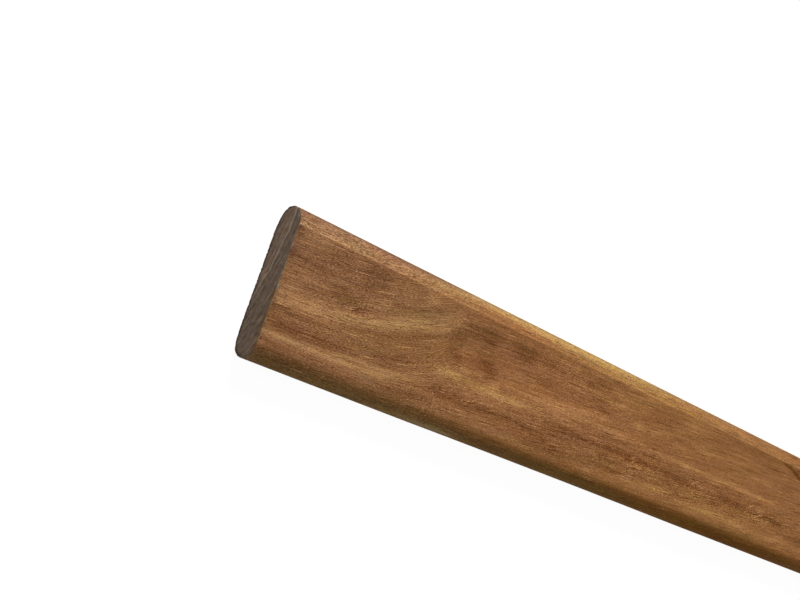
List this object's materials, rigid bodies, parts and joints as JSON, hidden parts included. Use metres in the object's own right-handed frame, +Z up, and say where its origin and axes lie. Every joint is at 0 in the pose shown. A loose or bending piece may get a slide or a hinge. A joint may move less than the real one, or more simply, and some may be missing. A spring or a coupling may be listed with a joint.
{
  "type": "hardwood fence board",
  "caption": "Flat planed hardwood board with fully rounded long edges and square-sawn ends, for fence infill or rails.",
  "frame": {"origin": "middle of the back face, where the board lies on a level floor", "axes": "+X along the length and the grain, +Y across the width, +Z up through the thickness, out of the front face"},
  "size_m": [1.8, 0.09, 0.021],
  "materials": {
    "hardwood": "planed, unoiled, with sawn end grain"
  },
  "bodies": {
    "root": {"board": "hardwood"}
  },
  "joints": []
}
